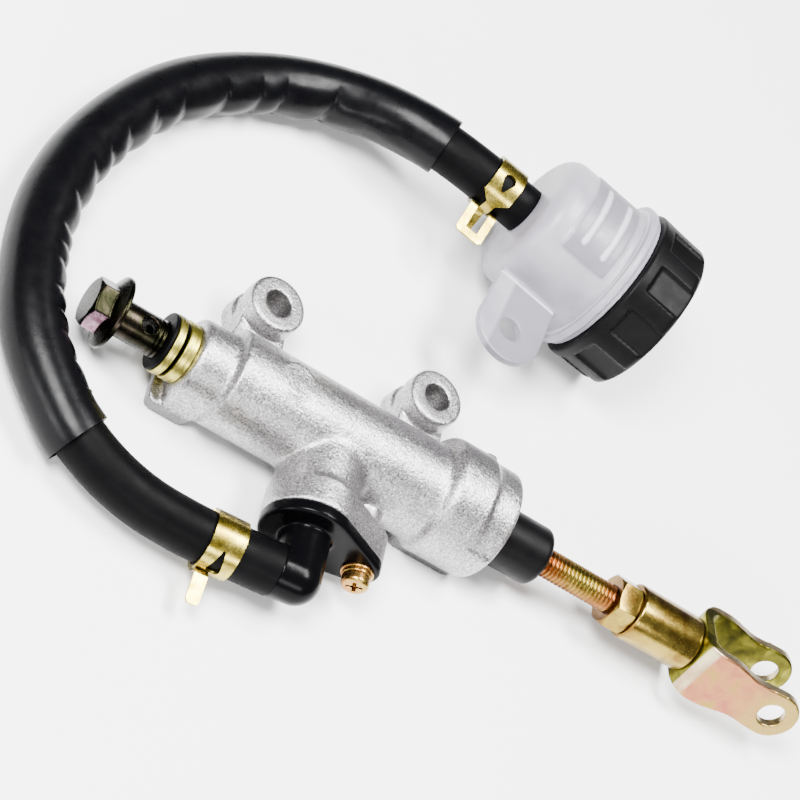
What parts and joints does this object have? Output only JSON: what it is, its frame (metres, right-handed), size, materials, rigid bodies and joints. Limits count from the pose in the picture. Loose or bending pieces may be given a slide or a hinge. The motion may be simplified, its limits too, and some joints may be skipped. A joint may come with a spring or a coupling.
{
  "type": "motorcycle rear brake master cylinder",
  "caption": "Rear brake master cylinder with a remote fluid reservoir on a sleeved hose, a banjo bolt outlet and a threaded pushrod with a clevis.",
  "frame": {"origin": "midway between the two mounting ears' holes, on the casting's flat back face", "axes": "+X along the cylinder from the banjo outlet to the pushrod and clevis, +Z out of the back face along the ear bolts, towards the viewer; +Y from the bore to the ears and reservoir"},
  "size_m": [0.2478, 0.1686, 0.0473],
  "materials": {
    "casting": "satin",
    "dark_steel": "satin",
    "gold_zinc": "satin",
    "copper_zinc": "satin",
    "bright_zinc": "satin",
    "spring_steel": "satin",
    "piston_alloy": "satin",
    "black_rubber": "matte",
    "black_plastic_gloss": "gloss",
    "black_plastic": "satin",
    "black_sleeve": "satin",
    "frosted": "satin",
    "white_plastic": "satin"
  },
  "bodies": {
    "root": {"cylinder_body": "casting", "banjo_bolt": "dark_steel", "seal_washers": "gold_zinc", "seal_washer_rubbers": "black_rubber", "inlet_elbow": "black_plastic_gloss", "elbow_o_ring": "black_rubber", "elbow_screw": "copper_zinc", "elbow_screw_washers": "copper_zinc", "hose": "black_rubber", "hose_sleeve": "black_sleeve", "lower_hose_clamp": "gold_zinc", "upper_hose_clamp": "gold_zinc", "reservoir": "frosted", "diaphragm": "black_rubber", "circlip": "spring_steel", "return_spring": "spring_steel", "pushrod_boot": "black_rubber"},
    "piston_body": {"piston": "piston_alloy", "primary_cup": "black_rubber", "secondary_cup": "black_rubber"},
    "swivel_body": {"stop_washer": "bright_zinc"},
    "rod_body": {"pushrod": "copper_zinc", "lock_nut": "gold_zinc"},
    "clevis_body": {"clevis_barrel": "gold_zinc", "clevis_yoke": "copper_zinc"},
    "plate_body": {"diaphragm_plate": "white_plastic"},
    "cap_body": {"reservoir_cap": "black_plastic"}
  },
  "joints": [
    {"name": "piston_stroke", "type": "slide", "parent": "root", "child": "piston_body", "axis": [-1, 0, 0], "range_m": [0, 0.012], "stiffness_N_per_m": 1500, "springref_m": -0.02, "deforming": ["return_spring", "pushrod_boot"]},
    {"name": "pushrod_swivel", "type": "hinge", "parent": "piston_body", "child": "swivel_body", "pos_m": [0.039, -0.0274, 0.0125], "axis": [0, -0.9511, 0.309], "range_deg": [-3, 3], "deforming": ["pushrod_boot"]},
    {"name": "pushrod_turn", "type": "hinge", "parent": "swivel_body", "child": "rod_body", "pos_m": [0.039, -0.0274, 0.0125], "axis": [-1, 0, 0], "range_deg": [0, 2304]},
    {"name": "clevis_adjust", "type": "slide", "parent": "swivel_body", "child": "clevis_body", "axis": [1, 0, 0], "range_m": [0, 0.008]},
    {"name": "cap_lift", "type": "slide", "parent": "root", "child": "plate_body", "axis": [0.9781, -0.2079, 0], "range_m": [0, 0.009]},
    {"name": "cap_turn", "type": "hinge", "parent": "plate_body", "child": "cap_body", "pos_m": [0.062, 0.0585, 0.0237], "axis": [0.9781, -0.2079, 0], "range_deg": [0, 1080]}
  ],
  "couplings": [
    {"joint": "pushrod_turn", "follows": "clevis_adjust", "rad_per_m": 5026.5},
    {"joint": "cap_lift", "follows": "cap_turn", "m_per_rad": 0.00047746}
  ]
}
